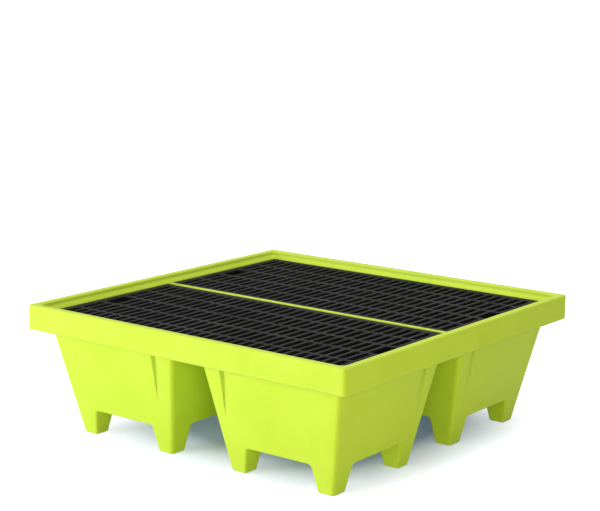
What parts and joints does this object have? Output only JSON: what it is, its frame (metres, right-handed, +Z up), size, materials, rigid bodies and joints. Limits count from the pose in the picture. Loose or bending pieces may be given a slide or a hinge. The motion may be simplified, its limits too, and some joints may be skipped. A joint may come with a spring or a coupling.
{
  "type": "spill containment pallet",
  "caption": "Square moulded sump pallet with tapered wells on feet, fork channels, a raised rim, lift-out slotted gratings and a threaded drain plug.",
  "frame": {"origin": "middle of the footprint, on the floor under the feet", "axes": "+Z up; -Y is the front and +X the right side; the drain is in the rear face of the rear left well"},
  "size_m": [1.27, 1.27, 0.432],
  "materials": {
    "sump_polyethylene": "rotationally moulded, fine orange-peel skin with a soft sheen",
    "grating_polyethylene": "injection moulded, satin, slightly scuffed on the deck",
    "insert_brass": "turned",
    "gasket_rubber": "moulded",
    "plug_polypropylene": "injection moulded, satin"
  },
  "bodies": {
    "base": {"sump_base": "sump_polyethylene", "drain_insert": "insert_brass"},
    "front_grating": {"front_grating": "grating_polyethylene"},
    "rear_grating": {"rear_grating": "grating_polyethylene"},
    "gasket": {"drain_gasket": "gasket_rubber"},
    "plug": {"drain_plug": "plug_polypropylene"}
  },
  "joints": [
    {"name": "front_grating_lift", "type": "slide", "parent": "base", "child": "front_grating", "axis": [0, 0, 1], "range_m": [0, 0.3]},
    {"name": "rear_grating_lift", "type": "slide", "parent": "base", "child": "rear_grating", "axis": [0, 0, 1], "range_m": [0, 0.3]},
    {"name": "drain_plug_travel", "type": "slide", "parent": "base", "child": "gasket", "axis": [0, 1, 0], "range_m": [0, 0.0231]},
    {"name": "drain_plug_turn", "type": "hinge", "parent": "gasket", "child": "plug", "pos_m": [-0.3165, 0.55141, 0.122], "axis": [0, 1, 0], "range_deg": [0, 1656]}
  ],
  "couplings": [
    {"joint": "drain_plug_travel", "follows": "drain_plug_turn", "m_per_rad": 0.00079577}
  ]
}
